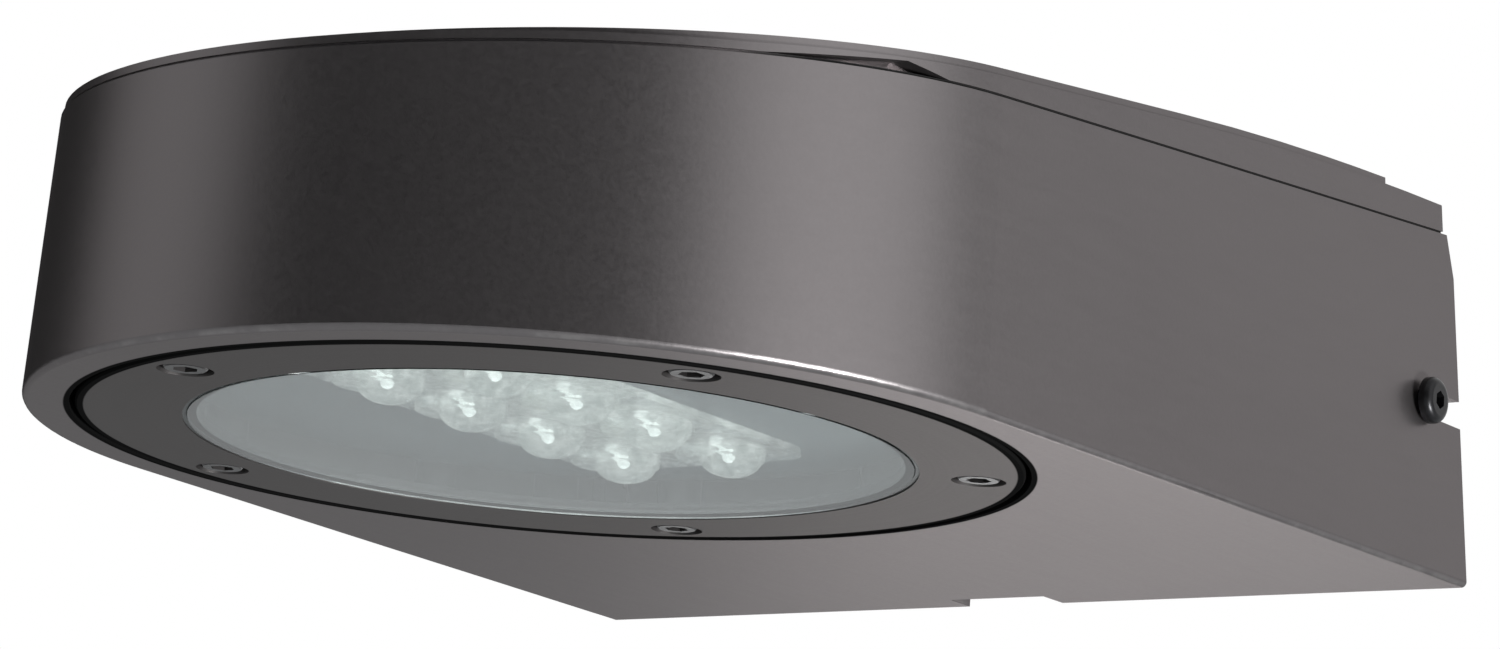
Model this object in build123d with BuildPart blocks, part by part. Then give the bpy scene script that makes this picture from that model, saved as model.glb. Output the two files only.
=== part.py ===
import math
import os

from build123d import *

# Wall pack light: a tapered D-shaped housing that slides onto a wall plate, with a round
# lens frame screwed into its underside. Millimetres. X across, +Y into the wall, +Z up.
# The origin is the centre of the wall plate's bolt patterns, in the wall's plane.

# ---- housing shell ----
nose_radius = 119.3  # outer radius of the round nose at the underside
nose_setback = 202.7  # wall to the centre of the round nose
rear_half_width = 128.6  # half the width of the underside at the wall
nose_lean = 0.0365  # inward lean of the nose per millimetre of height
rear_lean = 0.0932  # inward lean of the sides at the wall, per millimetre of height
underside_drop = 43.0  # underside below the centre of the wall mount
side_wall = 3.0
floor_wall = 4.0
wall_gap = 0.5  # housing's rear edge to the wall
edge_round = 1.4  # rounding of the underside's outer edge
rim_height = 71.2  # top edge of the side walls above the underside, at the nose centre
rim_slope = 0.0864  # rise of that edge per millimetre towards the wall
rear_corner_depth = 3.0  # slanted cut at the top rear corners
rear_corner_height = 11.0

# ---- top cover ----
cover_gap = 0.8  # shadow gap between the rim and the cover, filled by the cover gasket
cover_inset = 0.6  # cover's edge behind the housing's outer face
cover_edge = 1.8  # least thickness of the cover's edge, round the nose
cover_rise = 5.1  # cover's shoulder above the rim, at the nose centre
cover_slope = 0.1235  # rise of the shoulder per millimetre towards the wall, before it crowns
cover_straight = 75.0  # straight part of that slope, behind the nose centre
cover_rear_rise = 7.4  # line of the shoulder above the rim, at the wall
cover_skin = 3.0
cover_rear_gap = 4.0  # cover's rear edge to the wall
panel_rise = 2.0  # raised panel on the cover
panel_inset = 1.8
panel_rear_gap = 31.0  # rear edge of the raised panel to the wall
relief_height = 2.4  # wedge-shaped relief under the cover's edge, at each flank of the nose
relief_length = 44.0
relief_rear = -21.0  # rear end of the relief, from the nose centre
relief_peak = -33.0
relief_depth = 5.0

# ---- lens opening, ledge and bosses ----
nose_land = 10.6  # underside around the recess for the lens frame
ledge_width = 20.2  # ledge in the recess, up to the clear opening
ledge_wall = 3.0
ring_wall = 4.3  # upright wall around the recess
boss_radius = 5.4
boss_height = 10.0
pillar_radius = 5.0
pillar_setback = 2.0  # pillar's side to the ledge's inner edge

# ---- lens frame, glass and seals ----
frame_gap = 1.3  # shadow gap around the lens frame
frame_thickness = 5.0
frame_face = 24.0  # width of the frame's visible face
frame_lip_wall = 2.0  # lip that backs the glass
frame_lip_cover = 2.3  # how far the lip reaches over the glass
frame_lip_gap = 2.0  # lip to the ledge's inner edge
glass_thickness = 5.0
seal_width = 0.9
seal_lip = 0.5
seal_recess = 0.4
gasket_thickness = 1.0
gasket_inset = 0.8  # frame's edge to its gasket
gasket_width = 5.0
frame_edge = 0.5  # chamfer on the frame's visible edges

# ---- frame screws ----
frame_screw_count = 5
frame_screw_inset = 10.4  # frame's edge to its screws
frame_screw_start = 36.0  # angle of the first screw from +X
frame_screw_radius = 2.4
frame_screw_head = 4.9
frame_screw_head_height = 2.6
frame_screw_spare = 2.4  # depth of a frame screw's hole beyond its tip
frame_counterbore = 6.3
screw_clearance = 0.1  # radial clearance of a screw in its hole
hex_ratio = 0.52  # flat-to-flat size of a hex socket, as a share of the head's width
hex_depth = 1.6
head_edge = 0.4  # chamfer on the rim of a screw's head
head_sink = 0.2  # screw head below the face it is let into

# ---- light engine ----
led_pitch = 30.0
led_columns = 2
led_rows = 4
optic_face_height = 10.0  # front of the optics above the underside
optic_depth = 11.0
optic_radius = 14.1
optic_rim = 1.2
optic_belly = 11.6  # radius of the optic's curved wall at mid depth
optic_tail_radius = 5.6
optic_pocket_radius = 3.4
optic_pocket_depth = 4.2
optic_pocket_cone = 1.0  # cone at the end of the pocket
holder_radius = 14.9
holder_wall = 0.6
holder_foot = 1.2
holder_foot_radius = 6.4
board_height = 22.0  # underside of the LED board above the underside of the light
board_thickness = 1.6
board_margin = 8.0
board_screw_gap = 11.2  # corner screws of the board to the inside of the pan's skirt
board_corner = 4.0
pad_thickness = 0.5
emitter_size = 3.6
emitter_base = 0.9
emitter_dome = 1.5
pan_height = 14.0  # visible face of the reflector pan above the underside
pan_sheet = 1.5
pan_gap = 3.5  # pan's skirt to the ledge's inner edge
pan_ear_bite = 0.9  # how far the pan's flange runs into its ears
pan_window_gap = 0.4
sink_margin = 6.0  # heat sink's edge beyond its screws
sink_base = 6.0
fin_height = 24.0
fin_thickness = 2.2
fin_pitch = 13.0
fin_count = 13
board_screw_radius = 1.5
board_screw_head = 2.8
board_screw_head_height = 1.6
board_hex_depth = 1.0
sink_screw_radius = 2.0
sink_screw_head = 3.8
sink_screw_head_height = 2.6
sink_screw_grip = 12.0  # length of a heat sink screw in its pillar
fin_gap = 3.7  # fins to the heads of the heat sink's screws
pad_inset = 1.5

# ---- cover columns and screws ----
column_radius = 6.0
column_bite = 0.6  # how far a column runs into the wall beside it
column_nose_angle = 52.0  # nose columns, from the centre line
column_rear = -52.0  # rear columns, from the wall
cover_screw_radius = 2.0
cover_screw_head = 3.7
cover_screw_head_height = 1.8
cover_screw_grip = 12.0  # least length of a cover screw in its column
cover_counterbore = 4.4
cover_hex_depth = 1.2

# ---- driver chamber ----
driver_length = 132.0
driver_width = 44.0
driver_height = 30.0
driver_gap = 4.7  # driver to the upright wall around the recess
driver_corner = 3.0
driver_edge = 1.0  # chamfer around the driver's top
driver_ear = 13.0
driver_ear_thickness = 2.4
driver_ear_width = 20.0
driver_screw_radius = 2.0
driver_screw_head = 3.6
driver_screw_head_height = 2.2
driver_hex_depth = 1.2
terminal_size = (18.0, 38.0, 18.0)
terminal_gap = 7.0  # block to the end of the driver's ear
terminal_setback = 80.0  # middle of the block to the wall
terminal_ways = 3
terminal_pitch = 12.0
terminal_mouth = 2.3
terminal_mouth_height = 6.0
terminal_well = 2.9
terminal_well_depth = 6.0
terminal_screw = 2.5
terminal_screw_height = 3.0
terminal_screw_slot = 0.6
ground_gap = 19.0  # ground screw to the end of the driver's other ear
ground_radius = 2.0
ground_head = 4.2
ground_head_height = 2.6
floor_boss_height = 6.0
floor_boss_radius = 4.6

# ---- wall plate and the brackets of its lock screws ----
plate_thickness = 5.0
plate_bottom_gap = 1.5  # plate to the housing's floor
plate_side_gap = 3.4  # plate's edge to the inside of the housing's sides
plate_top_gap = 3.2  # plate to the level of the rim at the wall
tab_reach = 8.5  # bracket's tab beyond its lock screw
tab_height = 28.0
tab_wall = 4.0
tab_gap = 2.4  # tab's outer face to the inside of the housing at the lock screw
tab_corner = 4.0
foot_wall = 3.0
rivet_radius = 2.0
rivet_head = 3.6
rivet_head_height = 1.2
rivet_edge = 5.5  # bracket's inner end to its rivets
rivet_gap = 2.5  # rivets to the gasket groove
rivet_spacing = 16.0
slot_spacing = 88.9  # standard ceiling-box screw spacing
slot_width = 5.4
slot_length = 14.0
anchor_spacing_x = 190.0
anchor_spacing_z = 50.0
anchor_radius = 3.5
wire_hole_radius = 11.0
grommet_bore = 7.0
grommet_flange = 14.5
grommet_flange_wall = 2.0
grommet_lip = 1.5
grommet_lip_radius = 12.6
groove_width = 4.0
groove_depth = 2.0
groove_margin = 3.5  # plate's edge to the gasket groove
wall_gasket_gap = 0.2

# ---- lock screws ----
lock_height = 0.0  # lock screws above the origin
lock_setback = 18.5  # lock screws to the wall
lock_radius = 3.0
lock_slot_gap = 0.45  # shank to the side of its slot
lock_head_radius = 5.7
lock_head_height = 3.1
lock_head_gap = 1.35  # underside of the head to the leaning wall, at the slot's centre
lock_socket_depth = 2.2
lock_socket = 2.0  # half the hex socket's width across flats
lock_head_round = 1.9
lock_screw_reach = 2.2  # shank beyond the insert
turning_clearance = 0.05  # radial clearance of a lock screw in its insert
insert_radius = 5.0
insert_flange = 1.2
insert_collar = 6.6

# ---- bottom notch ----
notch_width = 28.0
notch_depth = 9.6

# ---- worked out from the sizes above ----
loft_height = 110.0  # height that the tapered body is drawn to, before its top is cut
bottom_z = -underside_drop
nose_y = -nose_setback
rear_y = -wall_gap
opening_radius = nose_radius - nose_land
ledge_radius = opening_radius - ledge_width
frame_radius = opening_radius - frame_gap
seal_radius = frame_radius - frame_face
glass_radius = seal_radius - seal_width
frame_lip_radius = glass_radius - frame_lip_cover
frame_lip_outer = ledge_radius - frame_lip_gap
gasket_outer = frame_radius - gasket_inset
gasket_inner = gasket_outer - gasket_width
frame_screw_circle = frame_radius - frame_screw_inset
pillar_circle = ledge_radius + pillar_setback + pillar_radius
pan_radius = ledge_radius - pan_gap
pan_flange_radius = pillar_circle - pillar_radius + pan_ear_bite
sink_radius = pillar_circle + sink_margin
fin_circle = pillar_circle - sink_screw_head - fin_gap
ledge_low = frame_thickness + gasket_thickness
ledge_high = ledge_low + ledge_wall
pan_top = board_height + board_thickness + pad_thickness
flange_low = pan_top - pan_sheet
sink_screw_length = sink_base + pan_sheet + sink_screw_grip
beyond = nose_radius + nose_setback  # longer than the light is deep


nose_section = Plane(origin=(0, nose_y, bottom_z), x_dir=(1, 0, 0), z_dir=(0, -1, 0))
nose_axis = Axis((0, nose_y, 0), (0, 0, 1))


def height_plane(height):
    # Horizontal plane at a height above the underside.
    return Plane.XY.offset(bottom_z + height)


def nose_plane(height):
    # The same plane, with its origin on the axis of the round nose.
    return Plane((0, nose_y, bottom_z + height))


def flare_angle(height):
    # Angle of the flared sides to the centre line, where they are tangent to the nose.
    radius = nose_radius - nose_lean * height
    half = rear_half_width - rear_lean * height
    return math.acos(radius / math.hypot(half, nose_setback)) - math.atan2(nose_setback, half)


def side_x(height, y, inset=0.0):
    # Half the width of the body at a height above the underside and a place along Y.
    flare = flare_angle(height)
    radius = nose_radius - nose_lean * height - inset
    return (radius + (y - nose_y) * math.sin(flare)) / math.cos(flare)


def rim_z(y, rise=0.0):
    # Height above the underside of the sloping rim at a place along Y.
    return rim_height + rim_slope * (y - nose_y) + rise


def d_outline(height, inset, end_y):
    # D outline: a round nose and two tangent sides that flare out towards the wall.
    flare = flare_angle(height)
    radius = nose_radius - nose_lean * height - inset
    tangent_x = radius * math.cos(flare)
    tangent_y = nose_y - radius * math.sin(flare)
    end_x = side_x(height, end_y, inset)
    with BuildSketch(height_plane(height)) as outline:
        with BuildLine():
            ThreePointArc((tangent_x, tangent_y), (0, nose_y - radius), (-tangent_x, tangent_y))
            Polyline((-tangent_x, tangent_y), (-end_x, end_y), (end_x, end_y), (tangent_x, tangent_y))
        make_face()
    return outline.sketch


def tapered_body(inset, end_y, low=0.0, high=loft_height):
    # The housing's tapered form between two heights, drawn in by an inset.
    with BuildPart() as body:
        loft([d_outline(low, inset, end_y), d_outline(high, inset, end_y)], ruled=True)
    return body.part


def side_view(*points):
    # Closed outline in the side view, through (Y, height above the underside) points.
    with BuildSketch(Plane.YZ) as view:
        with BuildLine():
            Polyline(*[(y, bottom_z + height) for y, height in points], close=True)
        make_face()
    return view.sketch


def rim_layer(low_rise, high_rise):
    # Side view of a layer that follows the rim, between two heights above it.
    return side_view(
        (-2 * beyond, rim_z(-2 * beyond, low_rise)),
        (0, rim_z(0, low_rise)),
        (0, rim_z(0, high_rise)),
        (-2 * beyond, rim_z(-2 * beyond, high_rise)),
    )


def cover_height(y):
    # Height above the underside of the cover's shoulder: a straight slope, then a crown.
    crown_y = nose_y + cover_straight
    straight = rim_z(nose_y, cover_rise) + cover_slope * (y - nose_y)
    if y <= crown_y:
        return straight
    crown = rim_z(nose_y, cover_rise) + cover_slope * cover_straight
    rise = rim_z(0, cover_rear_rise) - crown
    slope_length = math.hypot(1, cover_slope)
    bend = -cover_slope * crown_y - rise
    crown_radius = (crown_y**2 + rise**2) * slope_length / (2 * bend)
    centre_y = crown_y + crown_radius * cover_slope / slope_length
    centre_height = crown - crown_radius / slope_length
    return centre_height + math.sqrt(crown_radius**2 - (y - centre_y) ** 2)


def below_crown(drop):
    # Side view of all that lies under the cover's shoulder, lowered by a drop.
    places = (nose_y - nose_radius, nose_y + cover_straight, 0)
    tip, crown, rear = [(y, bottom_z + cover_height(y) - drop) for y in places]
    with BuildSketch(Plane.YZ) as view:
        with BuildLine():
            Line(tip, crown)
            TangentArc(crown, rear, tangent=(1, cover_slope))
            Polyline(rear, (0, bottom_z), (nose_y - nose_radius, bottom_z), tip)
        make_face()
    return view.sketch


def turned(*points):
    # Ring or disc turned about the nose's axis, from (radius, height) points.
    with BuildPart() as ring:
        with BuildSketch(nose_section):
            with BuildLine():
                Polyline(*points, close=True)
            make_face()
        revolve(axis=nose_axis)
    return ring.part


def cap_screw(head_radius, head_height, shank_radius, length, socket_depth=hex_depth):
    # Socket-head screw: the head's seat on the XY plane, the head above it, the shank below.
    with BuildPart() as screw:
        with BuildSketch():
            Circle(head_radius)
        extrude(amount=head_height)
        chamfer(screw.faces().sort_by(Axis.Z)[-1].edges(), length=head_edge)
        with BuildSketch():
            Circle(shank_radius)
        extrude(amount=-length)
        with BuildSketch(Plane.XY.offset(head_height)):
            RegularPolygon(radius=head_radius * hex_ratio, side_count=6, major_radius=False)
        extrude(amount=-socket_depth, mode=Mode.SUBTRACT)
    return screw.part


pillar_start = frame_screw_start + 180 / frame_screw_count
window_radius = holder_radius + pan_window_gap
column_nose_circle = nose_radius - nose_lean * rim_height - side_wall - column_radius + column_bite
driver_y = nose_y + opening_radius + ring_wall + driver_gap + driver_width / 2
ear_end = driver_length / 2 + driver_ear
ground_x = -ear_end - ground_gap
column_x = side_x(rim_height, column_rear, side_wall + column_radius - column_bite)
nose_columns = [
    (
        side * column_nose_circle * math.sin(math.radians(column_nose_angle)),
        nose_y - column_nose_circle * math.cos(math.radians(column_nose_angle)),
    )
    for side in (-1, 1)
]
column_points = nose_columns + [(side * column_x, column_rear) for side in (-1, 1)]
driver_screw_x = (driver_length + driver_ear) / 2
floor_points = [(-driver_screw_x, driver_y), (driver_screw_x, driver_y), (ground_x, driver_y)]
board_width = (led_columns - 1) * led_pitch + 2 * (holder_radius + board_margin)
board_screw_x = (board_width - board_margin) / 2
board_screw_y = math.sqrt((pan_radius - pan_sheet - board_screw_gap) ** 2 - board_screw_x**2)
board_length = 2 * board_screw_y + board_margin
board_screw_spacing = (2 * board_screw_x, board_screw_y)
ear_height = floor_wall + floor_boss_height
panel_seat = panel_rise - cover_screw_head_height - head_sink


def cover_seat(y):
    # Height of a cover screw's seat: the head stays below the sloping panel all round.
    return cover_height(y - cover_counterbore) + panel_seat


cover_screw_length = cover_screw_grip + max(cover_seat(y) - rim_z(y) for x, y in column_points)


# ---- housing ----
below_rim = side_view((-2 * beyond, 0), (0, 0), (0, rim_z(0)), (-2 * beyond, rim_z(-2 * beyond)))
corner_cut = side_view(
    (rear_y, rim_z(0, -rear_corner_height)),
    (rear_y - rear_corner_depth, rim_z(0, 1)),
    (rear_y, rim_z(0, 1)),
)

with BuildPart() as housing:
    add(tapered_body(0, rear_y))
    outer_bottom = housing.edges().filter_by_position(Axis.Z, bottom_z - 0.01, bottom_z + 0.01)
    fillet(outer_bottom.sort_by(Axis.Y)[:-1], radius=edge_round)
    add(tapered_body(side_wall, 0, floor_wall, loft_height + 1), mode=Mode.SUBTRACT)
    # Upright ring around the recess with its ledge, and the bosses and pillars on the ledge.
    with BuildSketch(nose_plane(floor_wall / 2)):
        Circle(opening_radius + ring_wall)
    extrude(amount=ledge_high - floor_wall / 2)
    with BuildSketch(nose_plane(ledge_low)):
        with PolarLocations(frame_screw_circle, frame_screw_count, frame_screw_start):
            Circle(boss_radius)
    extrude(amount=ledge_wall + boss_height)
    with BuildSketch(nose_plane(ledge_low)):
        with PolarLocations(pillar_circle, frame_screw_count, pillar_start):
            Circle(pillar_radius)
    extrude(amount=flange_low - ledge_low)
    # Columns that take the cover screws, and small bosses for what stands on the floor.
    with BuildSketch(height_plane(floor_wall / 2)):
        with Locations(*column_points):
            Circle(column_radius)
    extrude(amount=loft_height)
    with BuildSketch(height_plane(floor_wall / 2)):
        with Locations(*floor_points):
            Circle(floor_boss_radius)
    extrude(amount=ear_height - floor_wall / 2)
    extrude(below_rim, amount=beyond, both=True, mode=Mode.INTERSECT)
    # Round recess for the lens frame and the clear opening inside the ledge.
    with BuildSketch(nose_plane(0)):
        Circle(opening_radius)
    extrude(amount=ledge_low, mode=Mode.SUBTRACT)
    with BuildSketch(nose_plane(0)):
        Circle(ledge_radius)
    extrude(amount=ledge_high + 1, mode=Mode.SUBTRACT)
    # Screw holes.
    with BuildSketch(nose_plane(0)):
        with PolarLocations(frame_screw_circle, frame_screw_count, frame_screw_start):
            Circle(frame_screw_radius + screw_clearance)
    extrude(amount=ledge_high + boss_height, mode=Mode.SUBTRACT)
    with BuildSketch(nose_plane(pan_top + sink_base - sink_screw_length - screw_clearance)):
        with PolarLocations(pillar_circle, frame_screw_count, pillar_start):
            Circle(sink_screw_radius + screw_clearance)
    extrude(amount=sink_screw_length, mode=Mode.SUBTRACT)
    for x, y in column_points:
        with BuildSketch(height_plane(cover_seat(y) - cover_screw_length - screw_clearance)):
            with Locations((x, y)):
                Circle(cover_screw_radius + screw_clearance)
        extrude(amount=cover_screw_length, mode=Mode.SUBTRACT)
    with BuildSketch(height_plane(floor_wall / 2)):
        with Locations(*floor_points):
            Circle(driver_screw_radius + screw_clearance)
    extrude(amount=ear_height, mode=Mode.SUBTRACT)
    extrude(corner_cut, amount=beyond, both=True, mode=Mode.SUBTRACT)
    # Slots for the lock screws, open to the rear, and the notch in the rear of the floor.
    with BuildSketch(Plane.YZ):
        with Locations((-lock_setback, lock_height)):
            Circle(lock_radius + lock_slot_gap)
        with Locations((-lock_setback / 2, lock_height)):
            Rectangle(lock_setback, 2 * (lock_radius + lock_slot_gap))
    extrude(amount=beyond, both=True, mode=Mode.SUBTRACT)
    with BuildSketch(height_plane(0)):
        with Locations((0, rear_y - notch_depth / 2)):
            Rectangle(notch_width, notch_depth)
    extrude(amount=floor_wall, mode=Mode.SUBTRACT)
housing.part.label = "housing"

# ---- top cover: a crowned plate with a raised panel, hollow underneath ----
with BuildPart() as cover_pocket:
    add(tapered_body(side_wall + cover_inset, -cover_rear_gap - side_wall))
    extrude(below_crown(cover_skin), amount=beyond, both=True, mode=Mode.INTERSECT)
    with BuildSketch(height_plane(0)):
        with Locations(*column_points):
            Circle(column_radius)
    extrude(amount=loft_height, mode=Mode.SUBTRACT)

with BuildPart() as raised_panel:
    add(tapered_body(panel_inset, -panel_rear_gap))
    extrude(below_crown(-panel_rise), amount=beyond, both=True, mode=Mode.INTERSECT)

with BuildPart() as cover_rim:
    add(tapered_body(cover_inset, -cover_rear_gap))
    extrude(rim_layer(0, cover_gap + cover_edge), amount=beyond, both=True, mode=Mode.INTERSECT)

with BuildPart() as relief:
    relief_front = nose_y + relief_rear - relief_length
    relief_top = nose_y + relief_peak
    relief_end = nose_y + relief_rear
    wedge = side_view(
        (relief_front, rim_z(relief_front, cover_gap)),
        (relief_top, rim_z(relief_top, cover_gap + relief_height)),
        (relief_end, rim_z(relief_end, cover_gap)),
        (relief_end, rim_z(relief_end)),
        (relief_front, rim_z(relief_front)),
    )
    extrude(wedge, amount=beyond, both=True)
    add(tapered_body(relief_depth, 0), mode=Mode.SUBTRACT)

with BuildPart() as top_cover:
    add(tapered_body(cover_inset, -cover_rear_gap))
    extrude(below_crown(0), amount=beyond, both=True, mode=Mode.INTERSECT)
    add(cover_rim.part)
    add(raised_panel.part)
    extrude(rim_layer(cover_gap, loft_height), amount=beyond, both=True, mode=Mode.INTERSECT)
    add(cover_pocket.part, mode=Mode.SUBTRACT)
    # Wedge-shaped reliefs under the edge, one at each flank of the nose.
    add(relief.part, mode=Mode.SUBTRACT)
    for x, y in column_points:
        with BuildSketch(height_plane(cover_seat(y))):
            with Locations((x, y)):
                Circle(cover_counterbore)
        extrude(amount=loft_height, mode=Mode.SUBTRACT)
        with BuildSketch(height_plane(cover_seat(y))):
            with Locations((x, y)):
                Circle(cover_screw_radius + screw_clearance)
        extrude(amount=-cover_screw_length, mode=Mode.SUBTRACT)
top_cover.part.label = "top_cover"

with BuildPart() as cover_gasket:
    add(tapered_body(2 * cover_inset, -cover_rear_gap))
    add(tapered_body(side_wall, 0), mode=Mode.SUBTRACT)
    extrude(rim_layer(0, cover_gap), amount=beyond, both=True, mode=Mode.INTERSECT)
cover_gasket.part.label = "cover_gasket"

cover_screw = cap_screw(
    cover_screw_head, cover_screw_head_height, cover_screw_radius, cover_screw_length, cover_hex_depth
)
with BuildPart() as cover_screws:
    for x, y in column_points:
        with Locations((x, y, bottom_z + cover_seat(y))):
            add(cover_screw)
cover_screws.part.label = "cover_screws"

# ---- lens frame with its glass, seals and captive screws ----
lip_low = glass_thickness + seal_lip
lip_high = lip_low + frame_lip_wall
frame_seat = head_sink + frame_screw_head_height
frame_screw_length = ledge_high + boss_height - frame_screw_spare - frame_seat

with BuildPart() as lens_frame:
    add(
        turned(
            (seal_radius, 0),
            (frame_radius - frame_edge, 0),
            (frame_radius, frame_edge),
            (frame_radius, frame_thickness),
            (frame_lip_outer, frame_thickness),
            (frame_lip_outer, lip_high),
            (frame_lip_radius, lip_high),
            (frame_lip_radius, lip_low),
            (seal_radius, lip_low),
        )
    )
    with BuildSketch(nose_plane(0)):
        with PolarLocations(frame_screw_circle, frame_screw_count, frame_screw_start):
            Circle(frame_counterbore)
    extrude(amount=frame_seat, mode=Mode.SUBTRACT)
    with BuildSketch(nose_plane(0)):
        with PolarLocations(frame_screw_circle, frame_screw_count, frame_screw_start):
            Circle(frame_screw_radius + screw_clearance)
    extrude(amount=frame_thickness, mode=Mode.SUBTRACT)
lens_frame.part.label = "lens_frame"

with BuildPart() as lens_glass:
    with BuildSketch(nose_plane(0)):
        Circle(glass_radius)
    extrude(amount=glass_thickness)
    chamfer(lens_glass.edges(), length=seal_recess)
lens_glass.part.label = "lens_glass"

with BuildPart() as glass_seal:
    add(
        turned(
            (glass_radius, seal_recess),
            (seal_radius, seal_recess),
            (seal_radius, lip_low),
            (frame_lip_radius, lip_low),
            (frame_lip_radius, glass_thickness),
            (glass_radius - seal_recess, glass_thickness),
            (glass_radius, glass_thickness - seal_recess),
        )
    )
glass_seal.part.label = "glass_seal"

with BuildPart() as frame_gasket:
    add(
        turned(
            (gasket_inner, frame_thickness),
            (gasket_outer, frame_thickness),
            (gasket_outer, ledge_low),
            (gasket_inner, ledge_low),
        )
    )
frame_gasket.part.label = "frame_gasket"

frame_screw = cap_screw(frame_screw_head, frame_screw_head_height, frame_screw_radius, frame_screw_length)
with BuildPart() as frame_screws:
    with Locations(Location((0, nose_y, bottom_z + frame_seat), (180, 0, 0))):
        with PolarLocations(frame_screw_circle, frame_screw_count, -frame_screw_start):
            add(frame_screw)
frame_screws.part.label = "frame_screws"

# ---- light engine ----
with BuildPart() as reflector_pan:
    add(
        turned(
            (0, pan_height),
            (pan_radius, pan_height),
            (pan_radius, flange_low),
            (pan_flange_radius, flange_low),
            (pan_flange_radius, pan_top),
            (pan_radius - pan_sheet, pan_top),
            (pan_radius - pan_sheet, pan_height + pan_sheet),
            (0, pan_height + pan_sheet),
        )
    )
    with BuildSketch(nose_plane(flange_low)):
        with PolarLocations(pillar_circle, frame_screw_count, pillar_start):
            Circle(pillar_radius)
    extrude(amount=pan_sheet)
    with BuildSketch(nose_plane(flange_low)):
        with PolarLocations(pillar_circle, frame_screw_count, pillar_start):
            Circle(sink_screw_radius + screw_clearance)
    extrude(amount=pan_sheet, mode=Mode.SUBTRACT)
    # Scalloped window around the optics.
    with BuildSketch(nose_plane(pan_height)):
        with GridLocations(led_pitch, led_pitch, led_columns, led_rows):
            Circle(window_radius)
        Rectangle((led_columns - 1) * led_pitch, (led_rows - 1) * led_pitch)
    extrude(amount=pan_sheet, mode=Mode.SUBTRACT)
reflector_pan.part.label = "reflector_pan"

with BuildPart() as led_board:
    with BuildSketch(nose_plane(board_height)):
        RectangleRounded(board_width, board_length, board_corner)
        with GridLocations(*board_screw_spacing, 2, 3):
            Circle(board_screw_radius + screw_clearance, mode=Mode.SUBTRACT)
    extrude(amount=board_thickness)
led_board.part.label = "led_board"

with BuildPart() as thermal_pad:
    with BuildSketch(nose_plane(board_height + board_thickness)):
        RectangleRounded(board_width - 2 * pad_inset, board_length - 2 * pad_inset, board_corner)
        with GridLocations(*board_screw_spacing, 2, 3):
            Circle(board_screw_radius + screw_clearance, mode=Mode.SUBTRACT)
    extrude(amount=pad_thickness)
thermal_pad.part.label = "thermal_pad"

with BuildPart() as led_emitters:
    with BuildSketch(nose_plane(board_height)):
        with GridLocations(led_pitch, led_pitch, led_columns, led_rows):
            Rectangle(emitter_size, emitter_size)
    extrude(amount=-emitter_base)
    with Locations(nose_plane(board_height - emitter_base)):
        with GridLocations(led_pitch, led_pitch, led_columns, led_rows):
            Sphere(emitter_dome, arc_size1=-90, arc_size2=0)
led_emitters.part.label = "led_emitters"

pocket_tip = optic_depth - optic_pocket_depth - optic_pocket_cone
# One optic: a flat front rim, a curved wall that narrows to the emitter, and its pocket.
with BuildPart() as optic:
    with BuildSketch(Plane.XZ):
        with BuildLine():
            Polyline((0, pocket_tip), (0, 0), (optic_radius, 0), (optic_radius, optic_rim))
            ThreePointArc(
                (optic_radius, optic_rim),
                (optic_belly, optic_depth / 2),
                (optic_tail_radius, optic_depth),
            )
            Polyline(
                (optic_tail_radius, optic_depth),
                (optic_pocket_radius, optic_depth),
                (optic_pocket_radius, optic_depth - optic_pocket_depth),
                (0, pocket_tip),
            )
        make_face()
    revolve(axis=Axis.Z)

with BuildPart() as led_lenses:
    with Locations(nose_plane(optic_face_height)):
        with GridLocations(led_pitch, led_pitch, led_columns, led_rows):
            add(optic.part)
led_lenses.part.label = "led_lenses"

holder_depth = board_height - optic_face_height
with BuildPart() as holder:
    with BuildSketch():
        Circle(holder_radius)
        Circle(holder_radius - holder_wall, mode=Mode.SUBTRACT)
    extrude(amount=holder_depth)
    with BuildSketch(Plane.XY.offset(holder_depth)):
        Circle(holder_radius)
        Circle(holder_foot_radius, mode=Mode.SUBTRACT)
    extrude(amount=-holder_foot)

with BuildPart() as lens_holders:
    with Locations(nose_plane(optic_face_height)):
        with GridLocations(led_pitch, led_pitch, led_columns, led_rows):
            add(holder.part)
lens_holders.part.label = "lens_holders"

board_screw_length = board_thickness + sink_base
board_screw = cap_screw(
    board_screw_head, board_screw_head_height, board_screw_radius, board_screw_length, board_hex_depth
)
with BuildPart() as board_screws:
    with Locations(Location((0, nose_y, bottom_z + board_height), (180, 0, 0))):
        with GridLocations(*board_screw_spacing, 2, 3):
            add(board_screw)
board_screws.part.label = "board_screws"

with BuildPart() as heat_sink:
    with BuildSketch(nose_plane(pan_top)):
        Circle(sink_radius)
    extrude(amount=sink_base)
    with BuildSketch(nose_plane(pan_top + sink_base)):
        with GridLocations(fin_pitch, 1, fin_count, 1):
            Rectangle(fin_thickness, 2 * fin_circle)
        Circle(fin_circle, mode=Mode.INTERSECT)
    extrude(amount=fin_height)
    with BuildSketch(nose_plane(pan_top)):
        with PolarLocations(pillar_circle, frame_screw_count, pillar_start):
            Circle(sink_screw_radius + screw_clearance)
    extrude(amount=sink_base, mode=Mode.SUBTRACT)
    with BuildSketch(nose_plane(pan_top)):
        with GridLocations(*board_screw_spacing, 2, 3):
            Circle(board_screw_radius + screw_clearance)
    extrude(amount=sink_base, mode=Mode.SUBTRACT)
heat_sink.part.label = "heat_sink"

sink_screw = cap_screw(sink_screw_head, sink_screw_head_height, sink_screw_radius, sink_screw_length)
with BuildPart() as heat_sink_screws:
    with Locations(nose_plane(pan_top + sink_base)):
        with PolarLocations(pillar_circle, frame_screw_count, pillar_start):
            add(sink_screw)
heat_sink_screws.part.label = "heat_sink_screws"

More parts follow.
